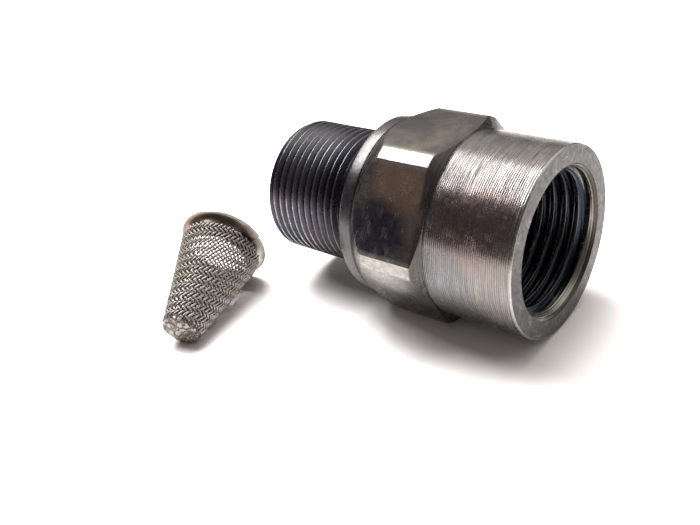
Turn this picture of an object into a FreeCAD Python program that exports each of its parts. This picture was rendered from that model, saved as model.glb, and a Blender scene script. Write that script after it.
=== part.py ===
"""Threaded burner inlet fitting with its loose conical wire strainer, in millimetres.

The fitting lies on one flat of its hexagon, with its axis along X. The origin is the centre of
the socket's mouth, +X points out of the socket and +Z is up. The strainer lies beside the male end,
resting on its rim and its tip, as it does before it is dropped down the socket on to its seat.
"""
import FreeCAD, Part
import math
import os
from FreeCAD import Vector

# Hexagon, collar and socket, all turned from one hexagonal bar
overall_length = 43.0
hex_across_flats = 26.0
flat_stand_proud = 0.1  # how far a flat stands outside the turned collar and socket
corner_trim = 0.49  # taken off the radius of each corner of the bar
hex_length = 11.75
hex_lead_angle = 32.0  # of the cone from the collar up to the corners, from the axis
hex_shoulder_angle = 60.0  # of the cone from the corners down to the socket, from the axis
socket_length = 12.75
collar_width = 2.15
collar_edge_chamfer = 0.25
junction_groove_width = 0.24  # the fine tool nick between the collar and the hexagon
junction_groove_depth = 0.14
socket_edge_chamfer = 0.12

# Male thread, 60 degree form
male_diameter = 20.0
male_pitch = 1.25
male_flank_angle = 30.0
male_thread_depth = 0.767
male_crest_flat = 0.156
male_end_chamfer = 0.4
relief_width = 2.2
relief_extra_depth = 0.12  # how far the relief lies below the thread's root
thread_start_inset = 0.7  # the groove's first turn starts this far outside the end

# Socket thread, 55 degree parallel pipe form
socket_thread_diameter = 20.955
socket_pitch = 1.8143
socket_flank_angle = 27.5
socket_thread_depth = 1.162
socket_crest_flat = 0.302
socket_thread_length = 12.6
socket_tail_length = 2.9  # plain tapping-size bore below the thread
socket_face_chamfer = 0.45
socket_face_chamfer_radius = 10.35
socket_lead_radius = 9.9
socket_lead_length = 1.35

# Strainer
cloth_mouth_diameter = 13.0
cloth_tip_diameter = 5.88
cloth_thickness = 0.48  # two wires, one over the other
cloth_length = 16.33  # along the axis, from the top of the flare to the rim of the tip
ferrule_thickness = 0.3
ferrule_skirt = 2.4
flare_radius = 1.5
flare_angle = 60.0
tip_plug_depth = 1.1
tip_dome = 0.55
tip_edge_radius = 0.5

# How the strainer fits the fitting
cone_clearance = 0.25
seat_clearance = 0.25
seat_depth = 1.2
passage_end_chamfer = 0.5

# Where the strainer lies
strainer_gap = 2.34  # between the male end and the nearest point of the rim, along the axis
strainer_side_gap = 3.2  # from the side of the male thread to the rim's centre
strainer_heading = -68.75  # degrees about Z, from +X to the way the tip points

socket_radius = hex_across_flats / 2 - flat_stand_proud
corner_radius = hex_across_flats / math.sqrt(3) - corner_trim
male_radius = male_diameter / 2
male_root_radius = male_radius - male_thread_depth
relief_radius = male_root_radius - relief_extra_depth
socket_major_radius = socket_thread_diameter / 2
socket_minor_radius = socket_major_radius - socket_thread_depth
socket_depth = socket_thread_length + socket_tail_length

# Places along the fitting, from the socket's mouth at 0 down to the male end
male_end = -overall_length
hex_front = -socket_length
hex_back = hex_front - hex_length
collar_back = hex_back - collar_width
relief_back = collar_back - relief_width

# The strainer's own frame: its rim lies in z = 0 and its tip points along +z
cone_angle = math.atan((cloth_mouth_diameter - cloth_tip_diameter) / 2 / cloth_length)
flare_turn = math.radians(flare_angle)
flare_growth = flare_radius * (
    math.cos(cone_angle) * (1 - math.cos(flare_turn)) + math.sin(cone_angle) * math.sin(flare_turn)
)
flare_height = flare_radius * (
    math.cos(cone_angle) * math.sin(flare_turn) - math.sin(cone_angle) * (1 - math.cos(flare_turn))
)
strainer_length = flare_height + cloth_length


def cloth_radius(z, depth=0.0):
    """The cone's radius at a height, or that of the surface this deep inside it."""
    mouth = cloth_mouth_diameter / 2
    slope = (cloth_tip_diameter / 2 - mouth) / cloth_length
    return mouth + slope * (z - flare_height) - depth


rim_radius = cloth_radius(flare_height, cloth_thickness) + flare_growth
tip_radius = cloth_tip_diameter / 2
seat_radius = rim_radius + seat_clearance
passage_radius = cloth_mouth_diameter / 2 + cone_clearance

OVERCUT = 0.1  # how far a thread's cutting tool reaches past the crest
THREAD_STARTS = (130, 200, 70, 290)  # degrees round the axis


def outline(points):
    """A closed wire through (radius, height) points, in the plane y = 0."""
    corners = [Vector(r, 0, z) for r, z in points]
    return Part.makePolygon(corners + corners[:1])


def spun(wire):
    """One solid of revolution about Z from a closed wire."""
    return Part.makeSolid(Part.Face(wire).revolve(Vector(0, 0, 0), Vector(0, 0, 1), 360))


def thread_groove(start, end, pitch, crest_radius, root_radius, crest_flat, flank_angle):
    """The helical groove between two heights that leaves a right-hand thread standing.

    Its mouth reaches a little past the crest, on the open side, so that it cuts cleanly.
    """
    side = 1 if crest_radius > root_radius else -1
    slope = math.tan(math.radians(flank_angle))
    mouth_radius = crest_radius + side * OVERCUT
    half_root = (pitch - crest_flat) / 2 - abs(crest_radius - root_radius) * slope
    half_mouth = (pitch - crest_flat) / 2 + OVERCUT * slope
    section = outline([
        (root_radius, -half_root),
        (root_radius, half_root),
        (mouth_radius, half_mouth),
        (mouth_radius, -half_mouth),
    ])
    helix = Part.makeHelix(pitch, end - start, root_radius)
    groove = Part.Wire(helix.Edges).makePipeShell([section], True, True)
    groove.translate(Vector(0, 0, start))
    return groove


def threaded(blank, groove):
    """The blank with the groove cut in it.

    A thread may start at any angle. The first one is taken whose cut leaves one sound solid with
    metal removed, since a start beside the seam of a round face can leave the blank uncut.
    """
    for start_angle in THREAD_STARTS:
        tool = groove.copy()
        tool.rotate(Vector(0, 0, 0), Vector(0, 0, 1), start_angle)
        cut = blank.cut(tool)
        removed = blank.Volume - cut.Volume
        if cut.isValid() and len(cut.Solids) == 1 and 0.3 * groove.Volume < removed < groove.Volume:
            return cut
    raise ValueError("no start angle gives a sound thread")


def body_outside():
    """The turned outside of the fitting, before the flats and the threads."""
    lead = (corner_radius - socket_radius) / math.tan(math.radians(hex_lead_angle))
    shoulder = (corner_radius - socket_radius) / math.tan(math.radians(hex_shoulder_angle))
    nick = junction_groove_width / 2
    return [
        (male_radius - male_end_chamfer, male_end),
        (male_radius, male_end + male_end_chamfer),
        (male_radius, relief_back - (male_radius - relief_radius)),
        (relief_radius, relief_back),
        (relief_radius, collar_back),
        (socket_radius - collar_edge_chamfer, collar_back),
        (socket_radius, collar_back + collar_edge_chamfer),
        (socket_radius, hex_back - nick),
        (socket_radius - junction_groove_depth, hex_back),
        (socket_radius, hex_back + nick),
        (corner_radius, hex_back + nick + lead),
        (corner_radius, hex_front - shoulder),
        (socket_radius, hex_front),
        (socket_radius, -socket_edge_chamfer),
        (socket_radius - socket_edge_chamfer, 0),
    ]


def body_inside():
    """The bores, from the socket's mouth through the seat to the male end."""
    return [
        (socket_face_chamfer_radius, 0),
        (socket_lead_radius, -socket_face_chamfer),
        (socket_minor_radius, -socket_face_chamfer - socket_lead_length),
        (socket_minor_radius, -socket_depth),
        (seat_radius, -socket_depth),
        (seat_radius, -socket_depth - seat_depth),
        (passage_radius, -socket_depth - seat_depth),
        (passage_radius, male_end + passage_end_chamfer),
        (passage_radius + passage_end_chamfer, male_end),
    ]


def outside_the_hexagon():
    """Six blocks to cut away, one on each flat. One flat faces down and one up."""
    blocks = []
    flat = hex_across_flats / 2
    for i in range(6):
        block = Part.makeBox(flat, 4 * flat, hex_length)
        block.translate(Vector(flat, -2 * flat, hex_back))
        block.rotate(Vector(0, 0, 0), Vector(0, 0, 1), i * 60.0)
        blocks.append(block)
    return blocks


def fitting_body():
    """The fitting: one steel turning with a hexagon, a male thread and a threaded socket."""
    blank = spun(outline(body_outside() + body_inside()))
    blank = blank.cut(outside_the_hexagon())
    male_groove = thread_groove(
        male_end - thread_start_inset, relief_back, male_pitch,
        male_radius, male_root_radius, male_crest_flat, male_flank_angle,
    )
    socket_groove = thread_groove(
        -socket_thread_length, thread_start_inset + socket_pitch, socket_pitch,
        socket_minor_radius, socket_major_radius, socket_crest_flat, socket_flank_angle,
    )
    body = threaded(threaded(blank, male_groove), socket_groove)
    body.rotate(Vector(0, 0, 0), Vector(0, 1, 0), 90)
    return body


def strainer_ferrule():
    """The thin flared ring that the cloth is fixed round. Its flare is the flange that seats."""
    along = Vector(math.sin(cone_angle), 0, -math.cos(cone_angle))
    outward = Vector(math.cos(cone_angle), 0, math.sin(cone_angle))
    skirt_top = Vector(cloth_radius(flare_height, cloth_thickness), 0, flare_height)
    skirt_end = skirt_top - along * ferrule_skirt
    centre = skirt_top + outward * flare_radius

    def on_flare(radius, turn):
        return centre + (along * math.sin(turn) - outward * math.cos(turn)) * radius

    edges = []
    near, far = flare_radius, flare_radius + ferrule_thickness
    edges.append(Part.makeLine(skirt_end, skirt_top))
    edges.append(Part.Arc(skirt_top, on_flare(near, flare_turn / 2), on_flare(near, flare_turn)).toShape())
    edges.append(Part.makeLine(on_flare(near, flare_turn), on_flare(far, flare_turn)))
    edges.append(
        Part.Arc(on_flare(far, flare_turn), on_flare(far, flare_turn / 2), on_flare(far, 0)).toShape()
    )
    inner_end = skirt_end - outward * ferrule_thickness
    edges.append(Part.makeLine(on_flare(far, 0), inner_end))
    edges.append(Part.makeLine(inner_end, skirt_end))
    return spun(Part.Wire(edges))


def strainer_cloth():
    """The rolled cone of wire cloth, as a plain wall of the cloth's thickness."""
    top = flare_height + ferrule_thickness / 2
    end = strainer_length
    return spun(outline([
        (cloth_radius(top), top),
        (cloth_radius(end), end),
        (cloth_radius(end, cloth_thickness), end),
        (cloth_radius(top, cloth_thickness), top),
    ]))


def strainer_tip():
    """The solder that closes the folded end of the cone: a plug inside it and a low dome over it."""
    end = strainer_length
    plug = spun(outline([
        (0, end - tip_plug_depth),
        (cloth_radius(end - tip_plug_depth, cloth_thickness), end - tip_plug_depth),
        (cloth_radius(end, cloth_thickness), end),
        (0, end),
    ]))
    dome = Part.makeCylinder(tip_radius, tip_dome, Vector(0, 0, end))
    crown = [e for e in dome.Edges if e.BoundBox.ZMin > end + tip_dome - 0.01]
    dome = dome.makeFillet(tip_edge_radius, crown)
    return plug.fuse(dome).removeSplitter()


def laid_down(shape):
    """Lay a strainer piece on the surface, resting on the rim's edge and the tip's edge."""
    tip_centre_radius = tip_radius - tip_edge_radius
    tip_centre_height = strainer_length + tip_dome - tip_edge_radius
    spread = rim_radius - tip_centre_radius
    tilt = math.acos(tip_edge_radius / math.hypot(spread, tip_centre_height))
    tilt -= math.atan2(tip_centre_height, spread)
    reach = rim_radius * math.cos(math.radians(90 + strainer_heading))
    height = rim_radius * math.cos(tilt) - hex_across_flats / 2
    place = Vector(male_end - strainer_gap - reach, -male_radius - strainer_side_gap, height)
    laid = shape.copy()
    laid.rotate(Vector(0, 0, 0), Vector(0, 1, 0), 90 + math.degrees(tilt))
    laid.rotate(Vector(0, 0, 0), Vector(0, 0, 1), strainer_heading)
    laid.translate(place)
    return laid


def export(name, shape):
    shape.exportStep(os.path.join("parts", name + ".step"))
    print(name, "valid", shape.isValid(), "solids", len(shape.Solids), "volume", round(shape.Volume, 2))


os.makedirs("parts", exist_ok=True)
print("rim radius", round(rim_radius, 3), "passage radius", round(passage_radius, 3))
export("fitting_body", fitting_body())
export("strainer_ferrule", laid_down(strainer_ferrule()))
export("strainer_cloth", laid_down(strainer_cloth()))
export("strainer_tip", laid_down(strainer_tip()))
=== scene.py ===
# %% [markdown]
# # Threaded inlet fitting and its loose cone strainer
#
# This lesson dresses a finished CAD model. The CAD pieces fix where everything is, in metres, with
# the fitting's axis along X and its socket's mouth at the origin. Blender only adds what the eye
# needs: rounded edges, worn steel, woven wire and soft light.

# %% Tools and the fixed frame
import math

import bmesh
import bpy
from mathutils import Matrix, Vector, noise


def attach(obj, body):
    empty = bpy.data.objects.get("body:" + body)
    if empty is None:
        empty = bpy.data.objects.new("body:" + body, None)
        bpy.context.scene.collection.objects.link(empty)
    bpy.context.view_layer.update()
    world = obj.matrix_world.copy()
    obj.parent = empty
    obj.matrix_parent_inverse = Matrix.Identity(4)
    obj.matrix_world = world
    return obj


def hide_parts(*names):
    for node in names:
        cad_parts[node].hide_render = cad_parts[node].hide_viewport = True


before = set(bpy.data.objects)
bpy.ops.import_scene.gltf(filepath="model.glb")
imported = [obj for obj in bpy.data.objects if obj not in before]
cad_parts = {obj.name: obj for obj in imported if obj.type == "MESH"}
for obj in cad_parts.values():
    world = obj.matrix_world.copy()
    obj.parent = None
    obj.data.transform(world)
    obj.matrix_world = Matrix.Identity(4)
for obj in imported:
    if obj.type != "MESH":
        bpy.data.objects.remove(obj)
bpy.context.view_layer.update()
MM = 0.001
scene = bpy.context.scene

# %% [markdown]
# ## Small helpers for meshes
#
# Shapes are drawn in millimetres because every drawing of a fitting is in millimetres. One helper
# turns a finished bmesh into an object whose place is in its mesh, and hangs it on a CAD body.

# %% Helper: from a bmesh to a finished piece
X_AXIS = Vector((1, 0, 0))


def finish_piece(name, bm, body, material, sharp, place=Matrix.Identity(4), stands_for=()):
    """Makes the object, smooths it below the sharp angle and lets it ride on its body."""
    bmesh.ops.transform(bm, matrix=Matrix.Scale(MM, 4) @ place, verts=bm.verts)
    mesh = bpy.data.meshes.new(name)
    bm.to_mesh(mesh)
    bm.free()
    mesh.materials.append(material)
    mesh.shade_smooth()
    mesh.set_sharp_from_angle(angle=math.radians(sharp))
    piece = bpy.data.objects.new(name, mesh)
    scene.collection.objects.link(piece)
    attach(piece, body)
    if stands_for:
        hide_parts(*stands_for)
    print(name, len(mesh.vertices), "points", len(mesh.polygons), "faces")


def chain(bm, points):
    """An open line of edges through (x, radius) points, in the plane above the axis."""
    verts = [bm.verts.new((x, 0, radius)) for x, radius in points]
    edges = [bm.edges.new(pair) for pair in zip(verts, verts[1:])]
    return verts + edges


def eased(points, radius, steps=3):
    """The same line with each inner corner rounded by a small arc, as a turned edge has."""
    line = [Vector(p) for p in points]
    out = [line[0]]
    for before, here, after in zip(line, line[1:], line[2:]):
        back, ahead = before - here, after - here
        reach = min(radius, 0.4 * back.length, 0.4 * ahead.length)
        start, end = here + back.normalized() * reach, here + ahead.normalized() * reach
        for i in range(steps + 1):
            t = i / steps
            out.append(start * (1 - t) ** 2 + here * 2 * t * (1 - t) + end * t ** 2)
    return out + [line[-1]]


def radius_of(vert):
    return math.hypot(vert.co.y, vert.co.z)


def set_radius(vert, radius):
    grow = radius / radius_of(vert)
    vert.co.y *= grow
    vert.co.z *= grow


def unit(value):
    """The value, kept between 0 and 1."""
    return min(max(value, 0.0), 1.0)


print("a square corner is eased into", len(eased([(0, 0), (1, 0), (1, 1)], 0.2)), "points")

# %% [markdown]
# ## Small helpers for node trees
#
# Every finish below is a node tree. Short helpers add a node and connect it in one line, so that
# a tree reads like a list of steps.

# %% Helpers: adding and joining nodes
# a Mix node has several sockets of each name, so its colour sockets are found by number
MIX_FACTOR, MIX_BELOW, MIX_ABOVE, MIX_RESULT = 0, 6, 7, 2


def add(tree, kind, inputs=None, out=0, **settings):
    """Adds a node, sets or links its inputs, and gives back one of its outputs."""
    node = tree.nodes.new("ShaderNode" + kind)
    for key, value in settings.items():
        setattr(node, key, value)
    for key, value in (inputs or {}).items():
        if isinstance(value, bpy.types.NodeSocket):
            tree.links.new(value, node.inputs[key])
        else:
            node.inputs[key].default_value = value
    return node.outputs[out]


def sums(tree, operation, a, b=0.0, c=0.0):
    """One step of arithmetic."""
    return add(tree, "Math", {0: a, 1: b, 2: c}, operation=operation)


def times(tree, a, b):
    return sums(tree, "MULTIPLY", a, b)


def rise(tree, value, low, high):
    """0 below low, 1 above high, with a smooth step between. It falls when low is the larger."""
    if low > high:
        return sums(tree, "SUBTRACT", 1.0, rise(tree, value, high, low))
    span = {"Value": value, "From Min": low, "From Max": high}
    return add(tree, "MapRange", span, interpolation_type="SMOOTHSTEP")


def blend(tree, mask, below, above):
    """One colour over another where the mask is 1."""
    node = tree.nodes.new("ShaderNodeMix")
    node.data_type = "RGBA"
    for key, value in {MIX_FACTOR: mask, MIX_BELOW: below, MIX_ABOVE: above}.items():
        if isinstance(value, bpy.types.NodeSocket):
            tree.links.new(value, node.inputs[key])
        elif key == MIX_FACTOR:
            node.inputs[key].default_value = value
        else:
            node.inputs[key].default_value = (*value, 1)
    return node.outputs[MIX_RESULT]


def new_group(name, ins, outs):
    """An empty node group with named inputs and outputs."""
    tree = bpy.data.node_groups.new(name, "ShaderNodeTree")
    for label, kind, value in ins:
        socket = tree.interface.new_socket(label, in_out="INPUT", socket_type="NodeSocket" + kind)
        socket.default_value = value
    for label, kind in outs:
        tree.interface.new_socket(label, in_out="OUTPUT", socket_type="NodeSocket" + kind)
    start = tree.nodes.new("NodeGroupInput")
    end = tree.nodes.new("NodeGroupOutput")
    return tree, start.outputs, end.inputs


def use(tree, group, out, **inputs):
    """Places a group in a tree, with its inputs by name."""
    node = tree.nodes.new("ShaderNodeGroup")
    node.node_tree = group
    for label, value in inputs.items():
        key = label.replace("_", " ")
        if isinstance(value, bpy.types.NodeSocket):
            tree.links.new(value, node.inputs[key])
        else:
            node.inputs[key].default_value = value
    return node.outputs[out]


print("node helpers ready:", ", ".join(f.__name__ for f in (add, sums, times, rise, blend, new_group, use)))

# %% [markdown]
# ## Shared surface effects
#
# Turned steel carries the same few marks wherever it is used: fine rings left by the lathe tool,
# cloudy brown oxide, hair scratches and small pits. Each is one node group, measured in
# millimetres on the piece itself, so that it stays put whichever way the piece is looked at. An
# unwrapped image could carry them too, but it would blur up close and need a seam.

# %% Effect: place on a turned piece
turned_place, _, ends = new_group(
    "Turned place", [], [("Point", "Vector"), ("Along", "Float"), ("Radius", "Float")]
)
local = add(turned_place, "TexCoord", out="Object")
point = add(turned_place, "VectorMath", {0: local, "Scale": 1 / MM}, operation="SCALE")
apart = turned_place.nodes.new("ShaderNodeSeparateXYZ")
turned_place.links.new(point, apart.inputs[0])
across = add(turned_place, "CombineXYZ", {"Y": apart.outputs["Y"], "Z": apart.outputs["Z"]})
out_from_axis = add(turned_place, "VectorMath", {0: across}, out="Value", operation="LENGTH")
turned_place.links.new(point, ends["Point"])
turned_place.links.new(apart.outputs["X"], ends["Along"])
turned_place.links.new(out_from_axis, ends["Radius"])
print(turned_place.name, len(turned_place.nodes), "nodes")

# %% Effect: lathe rings
rings, ins, ends = new_group(
    "Lathe rings", [("Pitch", "Float", 0.3), ("Wander", "Float", 0.1)],
    [("Height", "Float"), ("Streaks", "Float")],
)
along = use(rings, turned_place, "Along")
point = use(rings, turned_place, "Point")
drift = add(rings, "TexNoise", {"Vector": point, "Scale": 0.25, "Detail": 1.0})
turns = sums(rings, "DIVIDE", sums(rings, "MULTIPLY_ADD", drift, ins["Wander"], along), ins["Pitch"])
ridge = sums(rings, "SINE", times(rings, turns, math.tau))
squeezed = add(rings, "VectorMath", {0: point, 1: (1.0, 0.04, 0.04)}, operation="MULTIPLY")
lines = add(rings, "TexNoise", {"Vector": squeezed, "Scale": 6.5, "Detail": 3.0, "Roughness": 0.6})
height = sums(rings, "MULTIPLY_ADD", ridge, 0.65, times(rings, lines, 0.5))
rings.links.new(height, ends["Height"])
rings.links.new(sums(rings, "MULTIPLY_ADD", ridge, 0.13, lines), ends["Streaks"])
print(rings.name, len(rings.nodes), "nodes")

# %% Effect: cloudy oxide
clouds, ins, ends = new_group(
    "Oxide clouds",
    [("Scale", "Float", 0.2), ("Low", "Float", 0.4), ("High", "Float", 0.65), ("Seed", "Float", 0.0)],
    [("Mask", "Float")],
)
point = use(clouds, turned_place, "Point")
offset = add(clouds, "CombineXYZ", {"X": ins["Seed"]})
shifted = add(clouds, "VectorMath", {0: point, 1: offset}, operation="ADD")
cloud = add(clouds, "TexNoise", {
    "Vector": shifted, "Scale": ins["Scale"], "Detail": 6.0, "Roughness": 0.65, "Distortion": 0.4,
})
span = {"Value": cloud, "From Min": ins["Low"], "From Max": ins["High"]}
clouds.links.new(add(clouds, "MapRange", span, interpolation_type="SMOOTHSTEP"), ends["Mask"])
print(clouds.name, len(clouds.nodes), "nodes")

# %% Effect: one blotch at a place
blotch, ins, ends = new_group(
    "Blotch", [("Centre", "Vector", (0, 0, 0)), ("Reach", "Float", 4.0), ("Ragged", "Float", 3.0)],
    [("Mask", "Float")],
)
point = use(blotch, turned_place, "Point")
gap = add(blotch, "VectorMath", {0: point, 1: ins["Centre"]}, out="Value", operation="DISTANCE")
fringe = add(blotch, "TexNoise", {"Vector": point, "Scale": 0.35, "Detail": 6.0, "Roughness": 0.7})
gap = sums(blotch, "MULTIPLY_ADD", sums(blotch, "SUBTRACT", fringe, 0.5), ins["Ragged"], gap)
share = sums(blotch, "DIVIDE", gap, ins["Reach"])
blotch.links.new(rise(blotch, share, 1.15, 0.45), ends["Mask"])
print(blotch.name, len(blotch.nodes), "nodes")

# %% Effect: scratches and pits
HAIR_WIDTH = 0.012  # how near the middle of the noise a point counts as scratched
scratches, ins, ends = new_group(
    "Scratches and pits", [("Amount", "Float", 0.5), ("Seed", "Float", 0.0)],
    [("Scratches", "Float"), ("Pits", "Float")],
)
point = use(scratches, turned_place, "Point")
offset = add(scratches, "CombineXYZ", {"X": ins["Seed"]})
hairlines = []
for turn, stretch in (((0.4, 0.9, 0.3), (7.0, 0.35, 0.35)), ((1.2, 0.2, 1.1), (6.0, 0.3, 0.3))):
    laid = add(scratches, "Mapping", {"Vector": point, "Rotation": turn, "Scale": stretch})
    laid = add(scratches, "VectorMath", {0: laid, 1: offset}, operation="ADD")
    hair = add(scratches, "TexNoise", {"Vector": laid, "Scale": 1.0, "Detail": 2.0, "Roughness": 0.5})
    middle = sums(scratches, "ABSOLUTE", sums(scratches, "SUBTRACT", hair, 0.5))
    hairlines.append(rise(scratches, middle, HAIR_WIDTH, 0.0))
found = sums(scratches, "MAXIMUM", *hairlines)
patchy = add(scratches, "TexNoise", {"Vector": point, "Scale": 0.5, "Detail": 2.0})
found = times(scratches, found, rise(scratches, patchy, 0.45, 0.65))
scratches.links.new(times(scratches, found, ins["Amount"]), ends["Scratches"])
dots = add(scratches, "TexVoronoi", {"Vector": point, "Scale": 1.6})
pit = times(scratches, rise(scratches, dots, 0.24, 0.1), rise(scratches, patchy, 0.5, 0.6))
scratches.links.new(times(scratches, pit, ins["Amount"]), ends["Pits"])
print("effect groups", [g.name for g in bpy.data.node_groups])

# %% [markdown]
# ## The steel of the fitting
#
# The fitting was turned from one hexagonal bar and then chemically blacked. Handling has worn the
# black away on the corners, the face and the thread crests, and left brown oxide between. One
# material does it all: it asks where it is along the axis and how far out, and picks the finish.
# A material for each zone would be simpler, but real finishes fade into each other.

# %% Helper: a new material
def steel(name, metallic=1.0):
    """A plain material, its node tree and its shader, ready for colour and roughness."""
    material = bpy.data.materials.new(name)
    material.use_nodes = True
    tree = material.node_tree
    shader = tree.nodes["Principled BSDF"]
    shader.inputs["Metallic"].default_value = metallic
    return material, tree, shader


# %% Material: blacked and worn steel, with where each finish begins in mm
fitting_steel, tree, shader = steel("fitting_steel")
along = use(tree, turned_place, "Along")
radius = use(tree, turned_place, "Radius")
streaks = use(tree, rings, "Streaks")
on_socket = rise(tree, along, -13.4, -12.7)
on_hexagon = rise(tree, along, -24.5, -24.3)
on_thread = rise(tree, along, -26.5, -26.8)
worn_corner = rise(tree, radius, 14.15, 14.42)
inside = rise(tree, radius, 10.42, 10.3)
print("zones of", fitting_steel.name, "use", len(tree.nodes), "nodes")

# %% Material: the hexagon's flats
bronze = use(tree, clouds, "Mask", Scale=0.12, Low=0.42, High=0.6, Seed=3.0)
grain = use(tree, clouds, "Mask", Scale=1.6, Low=0.35, High=0.7, Seed=9.0)
flats = blend(tree, bronze, (0.09, 0.084, 0.085), (0.18, 0.155, 0.135))
bronze_patch = use(tree, blotch, "Mask", Centre=(-17.5, -9.5, 10.0), Reach=5.5, Ragged=4.5)
flats = blend(tree, bronze_patch, flats, (0.35, 0.25, 0.175))
brushed = use(tree, blotch, "Mask", Centre=(-18.5, -13.4, -3.2), Reach=4.2, Ragged=2.0)
flats = blend(tree, brushed, flats, (0.42, 0.41, 0.39))
black_patch = use(tree, blotch, "Mask", Centre=(-19.5, -12.6, 4.0), Reach=5.0, Ragged=5.0)
flats = blend(tree, black_patch, flats, (0.05, 0.043, 0.062))
flats = blend(tree, times(tree, grain, 0.45), flats, (0.075, 0.06, 0.058))
flats = blend(tree, worn_corner, flats, blend(tree, grain, (0.33, 0.318, 0.3), (0.225, 0.212, 0.195)))
print("with the flats", len(tree.nodes), "nodes")

# %% Material: the turned socket
brown = use(tree, blotch, "Mask", Centre=(-6.0, -11.0, 6.2), Reach=7.0, Ragged=6.0)
silver = use(tree, blotch, "Mask", Centre=(-10.5, -12.8, 0.0), Reach=5.5, Ragged=4.0)
beige = use(tree, blotch, "Mask", Centre=(-2.0, -12.5, 1.5), Reach=6.0, Ragged=5.0)
tarnish = use(tree, clouds, "Mask", Scale=0.18, Low=0.35, High=0.68, Seed=12.0)
tube = blend(tree, tarnish, (0.31, 0.295, 0.28), (0.19, 0.176, 0.17))
tube = blend(tree, rise(tree, streaks, 0.62, 0.36), tube, (0.09, 0.083, 0.085))
for amount, mask, dark, pale in (
    (0.8, brown, (0.1, 0.065, 0.06), (0.26, 0.18, 0.16)),
    (0.6, beige, (0.11, 0.1, 0.092), (0.27, 0.25, 0.232)),
    (0.7, silver, (0.075, 0.079, 0.087), (0.18, 0.185, 0.2)),
):
    tube = blend(tree, times(tree, mask, amount), tube, blend(tree, streaks, dark, pale))
# painted shade in the concave corner where the hexagon's shoulder meets the socket
corner_shade = times(tree, rise(tree, along, -13.5, -13.1), rise(tree, along, -12.3, -12.75))
tube = blend(tree, times(tree, corner_shade, 0.85), tube, (0.06, 0.055, 0.055))
print("with the socket", len(tree.nodes), "nodes")

# %% Material: collar, thread, face and bore
collar = blend(tree, streaks, (0.052, 0.052, 0.055), (0.135, 0.133, 0.13))
crest = rise(tree, radius, 9.86, 9.97)
rubbed = use(tree, blotch, "Mask", Centre=(-39.5, -9.0, -2.0), Reach=5.5, Ragged=4.0)
purple = use(tree, clouds, "Mask", Scale=0.15, Low=0.4, High=0.6, Seed=61.0)
groove = blend(tree, purple, (0.05, 0.054, 0.075), (0.07, 0.058, 0.068))
# painted sheen: the grooves are made paler in one patch on the upper side of the thread
painted_sheen = use(tree, blotch, "Mask", Centre=(-38.0, -4.0, 9.2), Reach=6.5, Ragged=3.5)
groove = blend(tree, painted_sheen, groove, (0.15, 0.15, 0.16))
crests = blend(tree, rubbed, (0.13, 0.13, 0.145), (0.42, 0.41, 0.42))
crests = blend(tree, times(tree, grain, 0.6), crests, (0.07, 0.065, 0.075))
thread = blend(tree, crest, groove, crests)
face = blend(tree, grain, (0.125, 0.125, 0.126), (0.09, 0.09, 0.093))
bore_crest = rise(tree, radius, 9.42, 9.33)
bore = blend(tree, bore_crest, (0.03, 0.034, 0.045), (0.12, 0.125, 0.14))
lead = blend(tree, streaks, (0.14, 0.14, 0.122), (0.34, 0.33, 0.29))
# painted shade: the chamfer ring at the very mouth, its last 0.4 mm, is darkened
lead = blend(tree, rise(tree, along, -0.5, -0.4), lead, (0.07, 0.06, 0.052))
bore = blend(tree, rise(tree, along, -1.75, -1.6), bore, lead)
print("with the collar, thread, face and bore", len(tree.nodes), "nodes")

# %% Material: one finish laid over another
# painted shade: the hexagon's shoulder, where it slopes down to the socket, is darkened
shoulder = times(tree, rise(tree, along, -14.0, -13.6), rise(tree, radius, 13.0, 13.1))
flats = blend(tree, shoulder, flats, (0.085, 0.078, 0.075))
nick = times(tree, rise(tree, along, -24.7, -24.58), rise(tree, along, -24.3, -24.42))
collar = blend(tree, nick, collar, (0.05, 0.046, 0.045))
colour = blend(tree, on_hexagon, collar, flats)
colour = blend(tree, on_socket, colour, tube)
colour = blend(tree, on_thread, colour, thread)
on_face = times(tree, rise(tree, along, -0.05, -0.02), rise(tree, radius, 12.85, 12.75))
colour = blend(tree, on_face, colour, face)
colour = blend(tree, times(tree, inside, sums(tree, "GREATER_THAN", along, -17.5)), colour, bore)
end_face = times(tree, rise(tree, radius, 9.7, 9.6), rise(tree, along, -42.9, -42.98))
passage = times(tree, rise(tree, radius, 9.08, 9.0), rise(tree, along, -15.35, -15.45))
passage = sums(tree, "MAXIMUM", passage, end_face)
colour = blend(tree, passage, colour, blend(tree, streaks, (0.13, 0.125, 0.12), (0.27, 0.26, 0.25)))
worn = add(tree, "Attribute", out="Fac", attribute_name="worn", attribute_type="GEOMETRY")
colour = blend(tree, times(tree, worn, 0.75), colour, (0.42, 0.4, 0.37))
rim_edge = times(tree, rise(tree, along, -0.3, -0.14), rise(tree, radius, 12.66, 12.76))
colour = blend(tree, times(tree, rim_edge, 0.8), colour, (0.4, 0.385, 0.365))
print("with every zone laid down", len(tree.nodes), "nodes")

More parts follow.
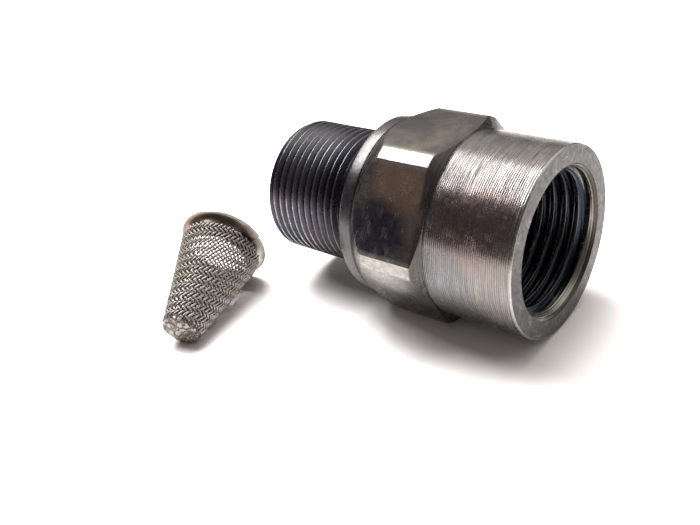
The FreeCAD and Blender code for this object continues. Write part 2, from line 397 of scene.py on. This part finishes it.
# %% Material: scratches, shine and lathe rings
open_face = times(tree, rise(tree, radius, 10.3, 10.5), on_hexagon)
marks = times(tree, use(tree, scratches, "Scratches", Amount=0.35), open_face)
pits = times(tree, use(tree, scratches, "Pits", Amount=0.3), open_face)
colour = blend(tree, marks, colour, (0.55, 0.53, 0.5))
colour = blend(tree, pits, colour, (0.08, 0.07, 0.065))
tree.links.new(colour, shader.inputs["Base Color"])
rough = sums(tree, "MULTIPLY_ADD", grain, 0.12, 0.26)
socket_side = times(tree, on_socket, rise(tree, radius, 12.7, 12.85))
rough = sums(tree, "MULTIPLY_ADD", socket_side, -0.07, rough)
rough = sums(tree, "MULTIPLY_ADD", on_face, 0.2, rough)
tree.links.new(rough, shader.inputs["Roughness"])
height = times(tree, use(tree, rings, "Height"), sums(tree, "MULTIPLY_ADD", on_socket, 0.85, 0.15))
height = sums(tree, "SUBTRACT", height, sums(tree, "ADD", pits, marks))
bump = add(tree, "Bump", {"Height": height, "Strength": 0.5, "Distance": 0.00004})
tree.links.new(bump, shader.inputs["Normal"])
print(fitting_steel.name, len(tree.nodes), "nodes")

# %% [markdown]
# ## The fitting's turned shape
#
# A lathe makes a shape from one line. So does the spin operator: the half section of the fitting
# is drawn once and spun about its axis. The flats are then sliced off, as a mill would, and the
# sharp edges get a small bevel, since no real edge is perfectly sharp. Booleans with a hexagonal
# prism could do the same, but slices by a plane leave a cleaner mesh.

# %% Sizes of the fitting, the same as the CAD model's
LENGTH, FLAT, SOCKET_R, CORNER_R = 43.0, 13.0, 12.9, 14.52
HEX_FRONT, HEX_BACK, COLLAR_BACK, RELIEF_BACK = -12.75, -24.5, -26.65, -28.85
LEAD = (CORNER_R - SOCKET_R) / math.tan(math.radians(32))
SHOULDER = (CORNER_R - SOCKET_R) / math.tan(math.radians(60))
MALE_R, MALE_ROOT, MALE_PITCH = 10.0, 9.233, 1.25
RELIEF_R = 9.113
END_CHAMFER = 0.4
SOCKET_MAJOR, SOCKET_MINOR, SOCKET_PITCH = 10.4775, 9.3155, 1.8143
SEAT, SEAT_FLOOR, SEAT_R, PASSAGE_R = -15.5, -16.7, 7.265, 6.75
LEDGE = 0.05  # the small step where a thread meets a plain face
FACETS = 128  # faces round the axis, the same on every part of the skin so that its seams meet
print("hexagon lead cone", round(LEAD, 3), "mm long, shoulder", round(SHOULDER, 3), "mm")

# %% Turn the outside
COLLAR_EASE, RIM_EASE, EDGE_EASE = 0.25, 0.15, 0.12
NICK_HALF_WIDTH, NICK_DEPTH = 0.12, 0.14
FACE_INNER_R = 10.5


def lathe(bm, points, angle=math.tau, steps=FACETS, closed=True):
    """Spins a line of (x, radius) points about the axis and joins the points that meet."""
    bmesh.ops.spin(
        bm, geom=chain(bm, points), cent=(0, 0, 0), axis=X_AXIS, angle=angle, steps=steps, use_merge=closed,
    )
    bmesh.ops.remove_doubles(bm, verts=bm.verts, dist=1e-4)


outside = bmesh.new()
lathe(outside, eased([
    (COLLAR_BACK, RELIEF_R), (COLLAR_BACK, SOCKET_R - COLLAR_EASE), (COLLAR_BACK + COLLAR_EASE, SOCKET_R),
    (HEX_BACK - NICK_HALF_WIDTH, SOCKET_R), (HEX_BACK, SOCKET_R - NICK_DEPTH),
    (HEX_BACK + NICK_HALF_WIDTH, SOCKET_R), (HEX_BACK + NICK_HALF_WIDTH + LEAD, CORNER_R),
    (HEX_FRONT - SHOULDER, CORNER_R), (HEX_FRONT, SOCKET_R),
    (-RIM_EASE, SOCKET_R), (0.0, SOCKET_R - RIM_EASE), (0.0, FACE_INNER_R),
], EDGE_EASE))
print("turned outside", len(outside.faces), "faces")

# %% Slice the six flats and bevel their edges
FLAT_CORNERS = 20  # a flat has more corners than this, and every other face has far fewer
for i in range(6):
    out = Matrix.Rotation(math.radians(60 * i), 3, "X") @ Vector((0, 0, 1))
    everything = outside.verts[:] + outside.edges[:] + outside.faces[:]
    cut = bmesh.ops.bisect_plane(
        outside, geom=everything, plane_co=out * FLAT, plane_no=out, clear_outer=True, dist=1e-5,
    )
    rim = [e for e in cut["geom_cut"] if isinstance(e, bmesh.types.BMEdge)]
    bmesh.ops.contextual_create(outside, geom=rim)
flat_faces = [f for f in outside.faces if len(f.verts) > FLAT_CORNERS]
# the edges round the flats, in the mesh's own order
flat_edges = [e for e in outside.edges if any(f in flat_faces for f in e.link_faces)]
worn = outside.faces.layers.float.new("worn")
bevelled = bmesh.ops.bevel(
    outside, geom=flat_edges, offset=0.16, offset_type="OFFSET", affect="EDGES",
    segments=2, profile=0.5, material=-1, clamp_overlap=True,
)
for f in bevelled["faces"]:
    f[worn] = 1.0
bmesh.ops.recalc_face_normals(outside, faces=outside.faces)
print("flats", len(flat_faces), "edge pieces", len(flat_edges))

# %% [markdown]
# ## Threads
#
# A thread is one small tooth drawn once and carried round and along the axis together. The spin
# operator does this when it is also given a step along the axis. Points that would stand outside
# the end chamfer, or past the run-out, are then pulled back to it. A bump could draw the grooves
# more cheaply, but the outline would stay smooth, and a thread shows most at its outline.

# %% Helper: a screw thread
def screw(bm, tooth, pitch, start, turns):
    """Carries one tooth, a list of (share of pitch, radius), once round and along, then repeats it."""
    line = [(start + share * pitch, radius) for share, radius in tooth]
    bmesh.ops.spin(
        bm, geom=chain(bm, line), cent=(0, 0, 0), axis=X_AXIS, dvec=(pitch / FACETS, 0, 0),
        angle=math.tau, steps=FACETS, use_merge=False,
    )
    one_turn = bm.verts[:] + bm.edges[:] + bm.faces[:]
    for turn in range(1, turns):
        copy = bmesh.ops.duplicate(bm, geom=one_turn)["geom"]
        moved = [v for v in copy if isinstance(v, bmesh.types.BMVert)]
        bmesh.ops.translate(bm, verts=moved, vec=(turn * pitch, 0, 0))
    bmesh.ops.remove_doubles(bm, verts=bm.verts, dist=1e-3)


def trim(bm, low, high):
    """Keeps what lies between two places along the axis."""
    for place, facing in ((low, -1), (high, 1)):
        everything = bm.verts[:] + bm.edges[:] + bm.faces[:]
        bmesh.ops.bisect_plane(
            bm, geom=everything, plane_co=(place, 0, 0), plane_no=(facing, 0, 0), clear_outer=True, dist=1e-5,
        )


def close_flat(bm, place):
    """Fills the ring between the free edges at one place along the axis."""
    ring = [e for e in bm.edges if e.is_boundary and all(abs(v.co.x - place) < 2e-3 for v in e.verts)]
    bmesh.ops.triangle_fill(bm, edges=ring, use_beauty=True)


print("one facet of the male thread climbs", round(MALE_PITCH / FACETS, 4), "mm")

# %% Cut the male thread
MALE_START = -LENGTH - 2.08  # off the end of the piece, which sets where the crests fall
male = bmesh.new()
tooth = eased([
    (0.0, MALE_ROOT), (0.06, MALE_ROOT), (0.44, MALE_R),
    (0.56, MALE_R), (0.94, MALE_ROOT), (1.0, MALE_ROOT),
], 0.03)
screw(male, tooth, MALE_PITCH, MALE_START, 14)
trim(male, -LENGTH, RELIEF_BACK)
for v in male.verts:
    limit = min(MALE_R - END_CHAMFER + (v.co.x + LENGTH), RELIEF_R + LEDGE + (RELIEF_BACK - v.co.x))
    if radius_of(v) > limit:
        set_radius(v, limit)
print("male thread", len(male.faces), "faces")

# %% [markdown]
# ## Relief, end face and passage
#
# Behind the thread a plain groove lets the cutting tool run out. Inside, a passage leads the oil
# through, with a shallow seat for the strainer's rim. These are turned like the outside. A thread
# has its own number of points at each end, so the flat ring next to it is filled with triangles,
# which join two loops of any count. A bridge between such loops can leave gaps.

# %% Add the relief, the end face and the passage
END_INNER_R, PASSAGE_EASE, RELIEF_EASE = 8.6, 0.5, 0.4
lathe(male, eased([
    (-LENGTH, END_INNER_R), (-LENGTH, PASSAGE_R + PASSAGE_EASE), (-LENGTH + PASSAGE_EASE, PASSAGE_R),
    (SEAT_FLOOR, PASSAGE_R), (SEAT_FLOOR, SEAT_R), (SEAT, SEAT_R), (SEAT, SOCKET_MINOR - LEDGE),
], 0.06))
close_flat(male, -LENGTH)
relief = [(RELIEF_BACK, RELIEF_R), (RELIEF_BACK + RELIEF_EASE, RELIEF_R), (COLLAR_BACK, RELIEF_R)]
lathe(male, eased(relief, 0.1))
close_flat(male, RELIEF_BACK)
print("with the relief and passage", len(male.faces), "faces")

# %% [markdown]
# ## The thread in the socket
#
# The socket's thread is coarser. It begins behind a cone that guides the pipe in, and fades out
# before the seat, where the tap stopped. The same tooth could be cut away by a boolean, but here
# it is swept whole, and each point is then held between the crest and a root that fades.

# %% Cut the socket thread
SOCKET_START = -17.4  # behind the seat, which sets where the crests fall
MOUTH_R, MOUTH_DEPTH, MOUTH_CONE = 9.9, 0.45, 1.35
RUN_OUT_FROM, RUN_OUT = -13.4, 0.8
RUN_IN_FROM, RUN_IN = -0.9, 1.2
female = bmesh.new()
tooth = eased([
    (0.0, SOCKET_MAJOR), (0.08, SOCKET_MAJOR), (0.417, SOCKET_MINOR),
    (0.583, SOCKET_MINOR), (0.92, SOCKET_MAJOR), (1.0, SOCKET_MAJOR),
], 0.05)
screw(female, tooth, SOCKET_PITCH, SOCKET_START, 10)
trim(female, SEAT, 0.0)


def crest_radius(x):
    """The cone at the socket's mouth, then the thread's crest."""
    inward = x + MOUTH_DEPTH
    if inward > 0:
        return MOUTH_R + inward
    return max(SOCKET_MINOR, MOUTH_R + inward * (MOUTH_R - SOCKET_MINOR) / MOUTH_CONE)


for v in female.verts:
    crest = crest_radius(v.co.x)
    root = SOCKET_MINOR + (SOCKET_MAJOR - SOCKET_MINOR) * unit((v.co.x - RUN_OUT_FROM) / RUN_OUT)
    root = crest + (root - crest) * unit((RUN_IN_FROM - v.co.x) / RUN_IN)
    set_radius(v, max(crest, min(radius_of(v), root)))
bmesh.ops.remove_doubles(female, verts=female.verts, dist=1e-4)
print("socket thread", len(female.faces), "faces")

# %% [markdown]
# ## One skin
#
# The real fitting is one piece of steel, so its skin is one closed mesh. The turned pieces could
# stay separate and only touch, but a closed skin has no seam for light to come through.

# %% Join the turned pieces into one skin
def pour(target, source):
    """Adds one bmesh to another."""
    carrier = bpy.data.meshes.new("carrier")
    source.to_mesh(carrier)
    source.free()
    target.from_mesh(carrier)
    bpy.data.meshes.remove(carrier)


pour(outside, male)
pour(outside, female)
bmesh.ops.remove_doubles(outside, verts=outside.verts, dist=1e-3)
for place in (0.0, SEAT):
    close_flat(outside, place)
bmesh.ops.recalc_face_normals(outside, faces=outside.faces)
free_edges = [e for e in outside.edges if e.is_boundary]
print("free edges left", len(free_edges))
finish_piece(
    "fitting_skin", outside, "fitting", fitting_steel, sharp=30,
    stands_for=("fitting_body",),
)

# %% [markdown]
# ## Where the strainer lies
#
# The strainer lies on its rim and its tip. Its pieces are made along the X axis, with the rim's
# plane at 0 and the tip at the far end, and one matrix then lays each of them down together.

# %% Sizes of the strainer, the same as the CAD model's
CLOTH_MOUTH_R, CLOTH_TIP_R, CLOTH_LENGTH, CLOTH_THICK = 6.5, 2.94, 16.33, 0.48
FERRULE_THICK, SKIRT, FLARE_R, FLARE_TURN = 0.3, 2.4, 1.5, math.radians(60)
TIP_EDGE, TIP_DOME = 0.5, 0.55
cone = math.atan((CLOTH_MOUTH_R - CLOTH_TIP_R) / CLOTH_LENGTH)
flare_height = FLARE_R * (math.sin(cone + FLARE_TURN) - math.sin(cone))
rim_r = CLOTH_MOUTH_R - CLOTH_THICK + FLARE_R * (math.cos(cone) - math.cos(cone + FLARE_TURN))
strainer_length = flare_height + CLOTH_LENGTH
print("rim radius", round(rim_r, 3), "length", round(strainer_length, 3))

# %% Lay it down beside the thread
BEYOND_END, BESIDE_THREAD = 2.34, 3.2
heading = math.radians(-68.75)
spread, tip_height = rim_r - (CLOTH_TIP_R - TIP_EDGE), strainer_length + TIP_DOME - TIP_EDGE
tilt = math.acos(TIP_EDGE / math.hypot(spread, tip_height)) - math.atan2(tip_height, spread)
reach = rim_r * math.cos(math.radians(90) + heading)
rim_centre = (-LENGTH - BEYOND_END - reach, -MALE_R - BESIDE_THREAD, rim_r * math.cos(tilt) - FLAT)
laid = Matrix.Translation(rim_centre) @ Matrix.Rotation(heading, 4, "Z") @ Matrix.Rotation(tilt, 4, "Y")
print("rim's centre", [round(p, 2) for p in rim_centre], "tilt", round(math.degrees(tilt), 2))

# %% [markdown]
# ## Finishes of the strainer
#
# The ferrule is rolled from thin strip that heat has tinted bronze and olive. The wires are plain
# drawn steel, bright on the knuckles that rub, with painted shade where they dip under the wires
# that cross them. The solder at the tip is pale, faceted and stained.

# %% Material: tinted ferrule strip
ferrule_steel, tree, shader = steel("ferrule_steel")
tint = use(tree, clouds, "Mask", Scale=0.22, Low=0.38, High=0.62, Seed=21.0)
speck = use(tree, clouds, "Mask", Scale=1.4, Low=0.4, High=0.7, Seed=33.0)
copper = use(tree, blotch, "Mask", Centre=(-55.9, -15.7, -1.0), Reach=2.2, Ragged=1.2)
greenish = use(tree, blotch, "Mask", Centre=(-53.9, -14.9, -0.2), Reach=1.8, Ragged=1.0)
silvery = use(tree, blotch, "Mask", Centre=(-45.7, -10.8, -9.0), Reach=3.6, Ragged=1.5)
strip = blend(tree, tint, (0.11, 0.085, 0.075), (0.2, 0.165, 0.14))
strip = blend(tree, copper, strip, (0.2, 0.105, 0.075))
strip = blend(tree, greenish, strip, (0.24, 0.19, 0.1))
strip = blend(tree, silvery, strip, (0.34, 0.35, 0.31))
strip = blend(tree, times(tree, speck, 0.4), strip, (0.09, 0.07, 0.065))
zone = add(tree, "Attribute", out="Fac", attribute_name="zone", attribute_type="GEOMETRY")
# painted shade: the skirt inside the cloth and the foot of the flare are painted dark
strip = blend(tree, rise(tree, zone, 0.02, 0.4), (0.07, 0.058, 0.05), strip)
strip = blend(tree, rise(tree, zone, 0.9, 0.97), strip, (0.29, 0.27, 0.24))
tree.links.new(strip, shader.inputs["Base Color"])
tree.links.new(sums(tree, "MULTIPLY_ADD", speck, 0.15, 0.28), shader.inputs["Roughness"])
print(ferrule_steel.name, len(tree.nodes), "nodes")

# %% Material: drawn wire
strainer_wire, tree, shader = steel("strainer_wire", 0.7)
lift = add(tree, "Attribute", out="Fac", attribute_name="lift", attribute_type="GEOMETRY")
age = use(tree, clouds, "Mask", Scale=0.3, Low=0.4, High=0.62, Seed=41.0)
wire_colour = blend(tree, age, (0.33, 0.315, 0.3), (0.285, 0.255, 0.22))
# painted shade: the wires are darkened where they dip under the wires that cross them
between = times(tree, rise(tree, lift, 0.16, -0.02), rise(tree, lift, -0.27, -0.15))
wire_colour = blend(tree, between, wire_colour, (0.125, 0.107, 0.096))
tree.links.new(wire_colour, shader.inputs["Base Color"])
shader.inputs["Roughness"].default_value = 0.4
print(strainer_wire.name, len(tree.nodes), "nodes")

# %% Material: stained solder
tip_solder, tree, shader = steel("tip_solder", 0.75)
flow = use(tree, clouds, "Mask", Scale=0.9, Low=0.38, High=0.62, Seed=51.0)
rust = use(tree, blotch, "Mask", Centre=(-45.5, -30.0, -12.9), Reach=1.6, Ragged=1.2)
solder_colour = blend(tree, flow, (0.14, 0.12, 0.108), (0.29, 0.265, 0.24))
cells = {"Vector": use(tree, turned_place, "Point"), "Scale": 1.0, "Randomness": 0.8}
cracks = add(tree, "TexVoronoi", cells, feature="DISTANCE_TO_EDGE")
solder_colour = blend(tree, rise(tree, cracks, 0.09, 0.02), solder_colour, (0.08, 0.065, 0.06))
solder_colour = blend(tree, rust, solder_colour, (0.2, 0.08, 0.05))
dent = add(tree, "Bump", {"Height": rise(tree, cracks, 0.0, 0.2), "Strength": 0.9, "Distance": 0.00015})
tree.links.new(dent, shader.inputs["Normal"])
tree.links.new(solder_colour, shader.inputs["Base Color"])
tree.links.new(sums(tree, "MULTIPLY_ADD", flow, -0.12, 0.34), shader.inputs["Roughness"])
print(tip_solder.name, len(tree.nodes), "nodes")

# %% [markdown]
# ## The ferrule
#
# The ferrule is a strip rolled into a ring, so its two ends meet at a small gap with one end
# standing a little proud. A spin that stops just short of a full turn leaves that gap, with less
# work than a closed ring that is cut open afterwards.

# %% Ferrule
SEAM, GAP, STEP = 105.0, 2.2, 0.3  # degrees round from the underside, degrees, mm


def on_flare(r, turn):
    """A point (along, radius) on the flare, at a distance r from the centre of its curve."""
    x = flare_height + math.sin(cone) * FLARE_R - math.sin(cone + turn) * r
    return x, CLOTH_MOUTH_R - CLOTH_THICK + math.cos(cone) * FLARE_R - math.cos(cone + turn) * r


ARC_STEPS = 8
arc = [FLARE_TURN * i / ARC_STEPS for i in range(ARC_STEPS + 1)]
near_cloth = [on_flare(FLARE_R, t) for t in arc]
far_side = [on_flare(FLARE_R + FERRULE_THICK, t) for t in reversed(arc)]
skirt_end = (flare_height + math.cos(cone) * SKIRT, CLOTH_MOUTH_R - CLOTH_THICK - math.sin(cone) * SKIRT)
inner_end = (skirt_end[0] - math.sin(cone) * FERRULE_THICK, skirt_end[1] - math.cos(cone) * FERRULE_THICK)
section = [skirt_end] + near_cloth + far_side + [inner_end, skirt_end]
ferrule = bmesh.new()
lathe(ferrule, eased(section, 0.12), angle=math.radians(360 - GAP), steps=180, closed=False)
bmesh.ops.holes_fill(ferrule, edges=[e for e in ferrule.edges if e.is_boundary], sides=0)
print("strip", round(360 - GAP, 1), "degrees round,", len(section), "points across")

# %% Ferrule: place the seam and let one end stand proud
WOBBLE, WOBBLE_SCALE = 0.08, 0.25
seam_turn = Matrix.Rotation(math.radians(SEAM + GAP / 2 - 180), 3, "X")
bmesh.ops.rotate(ferrule, verts=ferrule.verts, cent=(0, 0, 0), matrix=seam_turn)
zone = ferrule.verts.layers.float.new("zone")
for v in ferrule.verts:
    v[zone] = unit((flare_height - v.co.x) / flare_height)
    turned = (math.degrees(math.atan2(v.co.y, -v.co.z)) - SEAM) % 360 / 360
    set_radius(v, radius_of(v) - STEP * turned + STEP / 2)
    v.co.x += WOBBLE * noise.noise(v.co * WOBBLE_SCALE)
bmesh.ops.recalc_face_normals(ferrule, faces=ferrule.faces)
finish_piece(
    "ferrule_ring", ferrule, "strainer", ferrule_steel, sharp=40, place=laid,
    stands_for=("strainer_ferrule",),
)

# %% [markdown]
# ## The woven cloth
#
# The cloth is a two-and-two twill: each wire passes over two and then under two, one step along
# from its neighbour, which gives slanting rows. It was cut flat as a fan and rolled into a cone.
# The script does the same. Straight wires are laid out on the flat fan, and each point of a wire
# is then carried on to the cone, so that the rows drift round it as they do on rolled cloth. A
# woven pattern in a bump would be lighter, but it would close the holes that the light goes through.

# %% Weave: the flat fan and the cone
PITCH, WIRE_R, LIFT = 0.53, 0.155, 0.15
SHORT_OF_TIP, SHORT_OF_FLARE = 0.1, 0.3  # how far the cloth stops from each end of the cone
FRONT = math.radians(207)  # where the rows run level, measured as the seam is
mid_mouth = CLOTH_MOUTH_R - CLOTH_THICK / 2
apex = flare_height + mid_mouth / math.tan(cone)
near_tip = (apex - strainer_length + SHORT_OF_TIP) / math.cos(cone)
near_mouth = (apex - flare_height - SHORT_OF_FLARE) / math.cos(cone)
fan = math.pi * math.sin(cone)
fan_degrees = round(math.degrees(2 * fan), 1)
print("fan", fan_degrees, "degrees wide, from", round(near_tip, 1), "to", round(near_mouth, 1), "mm")

SNAP = 2.4  # how quickly a wire changes from over to under


def over_under(steps):
    """+1 where the wire passes over, -1 where it passes under: two and two."""
    return math.tanh(SNAP * math.sin(math.pi / 2 * (steps + 0.5))) / math.tanh(SNAP)


def rolled(i, j, lift):
    """The point of the fan at wires i and j, carried on to the cone and lifted off it."""
    x, y = (i + j) * PITCH / math.sqrt(2), (i - j) * PITCH / math.sqrt(2)
    slant, turn = math.hypot(x, y), math.atan2(x, -y)
    if abs(turn) > fan or not near_tip < slant < near_mouth:
        return None
    around = FRONT + turn / math.sin(cone)
    r = slant * math.sin(cone) + lift * math.cos(cone)
    return apex - slant * math.cos(cone) + lift * math.sin(cone), r * math.sin(around), -r * math.cos(around)


print("a wire swings", round(2 * LIFT, 2), "mm between over and under")

# %% Weave: run the wires
FINE = 4  # points for each wire that is crossed
TOO_SHORT = 3  # a run of this many points or fewer is left out


def run_wires(name, warp):
    """All wires of one direction, as one curve turned into a mesh."""
    curve = bpy.data.curves.new(name, "CURVE")
    curve.dimensions = "3D"
    curve.bevel_depth = WIRE_R
    curve.bevel_resolution = 1
    curve.use_fill_caps = True
    most = int(near_mouth / PITCH) + 2
    for k in range(-most, most + 1):
        run = []
        for step in range(-FINE * most, FINE * most + 1):
            t = step / FINE
            if warp:
                here = rolled(t, k, LIFT * over_under(t - k))
            else:
                here = rolled(k, t, -LIFT * over_under(k - t))
            if here is not None:
                run.append(here)
            if (here is None or step == FINE * most) and run:
                if len(run) > TOO_SHORT:
                    spline = curve.splines.new("POLY")
                    spline.points.add(len(run) - 1)
                    for p, co in zip(spline.points, run):
                        p.co = (*co, 1)
                run = []
    loose = bpy.data.objects.new(name + "_line", curve)
    scene.collection.objects.link(loose)
    evaluated = loose.evaluated_get(bpy.context.evaluated_depsgraph_get())
    mesh = bpy.data.meshes.new_from_object(evaluated)
    bpy.data.objects.remove(loose)
    wires = bmesh.new()
    wires.from_mesh(mesh)
    layer = wires.verts.layers.float.new("lift")
    for v in wires.verts:
        v[layer] = (radius_of(v) - (apex - v.co.x) * math.tan(cone)) * math.cos(cone)
    bpy.data.meshes.remove(mesh)
    return wires


finish_piece(
    "cloth_warp", run_wires("warp", True), "strainer", strainer_wire, sharp=60, place=laid,
    stands_for=("strainer_cloth",),
)
finish_piece(
    "cloth_weft", run_wires("weft", False), "strainer", strainer_wire, sharp=60, place=laid,
)

# %% [markdown]
# ## The soldered tip
#
# The end of the cone was folded over and filled with solder. It is a lumpy, faceted plug rather
# than a clean disc. It could be sculpted by hand, but a ball that is flattened, pushed into the
# cone and moved by noise gives the same kind of lumps each time the script runs.

# %% Tip
PLUG_BACK, PLUG_FRONT = 1.4, 0.75  # how deep it reaches into the cone and how far it stands out
PLUG_SIDE, PLUG_INSET = 0.2, 0.1  # how far it keeps inside the cloth's edge and its end
WIDEN = 1.35  # the ball's middle grows by this, and what is past the side becomes a straight wall
FRONT_FROM, LUMPS_OUT = -0.1, 1.2  # where the ball's front begins, how much its lumps stand out
BROAD, SMALL = (2.3, 0.16), (5.0, 0.1)  # two sizes of lump, each a scale and a height
tip = bmesh.new()
bmesh.ops.create_icosphere(tip, subdivisions=4, radius=1.0)
for v in tip.verts:
    ball, out = v.co.copy(), radius_of(v)
    bulge = sum(noise.noise(ball * scale) * tall for scale, tall in (BROAD, SMALL))
    side = CLOTH_TIP_R - PLUG_SIDE + max(-ball.x, 0.0) * PLUG_BACK * math.tan(cone)
    side *= min(1.0, WIDEN * out) / max(out, 1e-6)
    depth = PLUG_BACK * ball.x
    if ball.x > FRONT_FROM:
        depth = PLUG_FRONT * max(ball.x, 0.0) + LUMPS_OUT * bulge
    v.co = (strainer_length - PLUG_INSET + depth, ball.y * side, ball.z * side)
finish_piece(
    "tip_plug", tip, "strainer", tip_solder, sharp=12, place=laid, stands_for=("strainer_tip",),
)

# %% [markdown]
# ## Camera
#
# A normal lens close above the part, looking down at about 32 degrees and slightly rolled. A
# camera can be aimed by a constraint, but three fixed directions also keep the roll.

# %% Camera
camera_place = (0.0437068, -0.0826520, 0.0586615)
right = Vector((0.76689, 0.62279, -0.15495))
up = Vector((-0.23520, 0.49739, 0.83504))
look = Vector((-0.59712, 0.60394, -0.52792))
camera = bpy.data.objects.new("camera", bpy.data.cameras.new("camera"))
scene.collection.objects.link(camera)
facing = Matrix((right, up, -look)).transposed().to_4x4()
camera.matrix_world = Matrix.Translation(camera_place) @ facing
camera.data.lens = 43.114
camera.data.sensor_width = 36
camera.data.clip_start = 0.005
scene.camera = camera
scene.view_settings.view_transform = "Standard"
print("camera looks down", round(math.degrees(math.asin(-look.z)), 1), "degrees")

# %% [markdown]
# ## Floor and light
#
# Bright metal shows its surroundings more than itself. A large soft lamp above and behind gives
# the one broad highlight, a pale floor lights the underside, and the room in front stays dim.

# %% Floor
FLOOR_Z, FLOOR_RADIUS = -0.01302, 0.45  # just under the flat that the fitting rests on
floor_mesh = bmesh.new()
under = Matrix.Translation((0, 0, FLOOR_Z))
bmesh.ops.create_circle(floor_mesh, cap_ends=True, segments=96, radius=FLOOR_RADIUS, matrix=under)
mesh = bpy.data.meshes.new("floor")
floor_mesh.to_mesh(mesh)
floor_mesh.free()
floor = bpy.data.objects.new("floor", mesh)
scene.collection.objects.link(floor)
paper, tree, shader = steel("floor_paper", 0.0)
shader.inputs["Base Color"].default_value = (0.9, 0.865, 0.85, 1)
shader.inputs["Roughness"].default_value = 0.9
shader.inputs["Specular IOR Level"].default_value = 0.1
floor.data.materials.append(paper)
print("floor", FLOOR_RADIUS, "m round, at", FLOOR_Z)

# %% Lamps
def lamp(name, place, target, width, depth, power, glossy=True):
    """A soft rectangular lamp, aimed at a target. Without glossy it lights but isn't mirrored."""
    data = bpy.data.lights.new(name, "AREA")
    data.shape = "RECTANGLE"
    data.size, data.size_y = width, depth
    data.energy = power
    light = bpy.data.objects.new(name, data)
    scene.collection.objects.link(light)
    light.location = place
    light.rotation_euler = (Vector(target) - Vector(place)).to_track_quat("-Z", "Y").to_euler()
    light.visible_glossy = glossy
    print("lamp", name, power, "W,", width, "by", depth, "m")


centre = (-0.02, 0.0, 0.0)
lamp("softbox", (-0.37, 0.035, 0.50), centre, 0.46, 0.13, 4.0)
lamp("floor_fill", (-0.20, 0.12, 0.6), centre, 0.42, 0.42, 8.0, glossy=False)

# %% Surroundings
world = bpy.data.worlds.new("room")
scene.world = world
world.use_nodes = True
tree = world.node_tree
background = tree.nodes["Background"]
direction = tree.nodes.new("ShaderNodeSeparateXYZ")
tree.links.new(add(tree, "TexCoord", out="Generated"), direction.inputs[0])
behind = rise(tree, direction.outputs["Y"], -0.15, 0.45)
high = rise(tree, direction.outputs["Z"], 0.05, 0.75)
room = blend(tree, times(tree, behind, high), (0.17, 0.155, 0.16), (1.55, 1.5, 1.42))
seen = add(tree, "LightPath", out="Is Camera Ray")
tree.links.new(blend(tree, seen, room, (1.0, 1.0, 1.0)), background.inputs[0])
print(world.name, len(tree.nodes), "nodes")
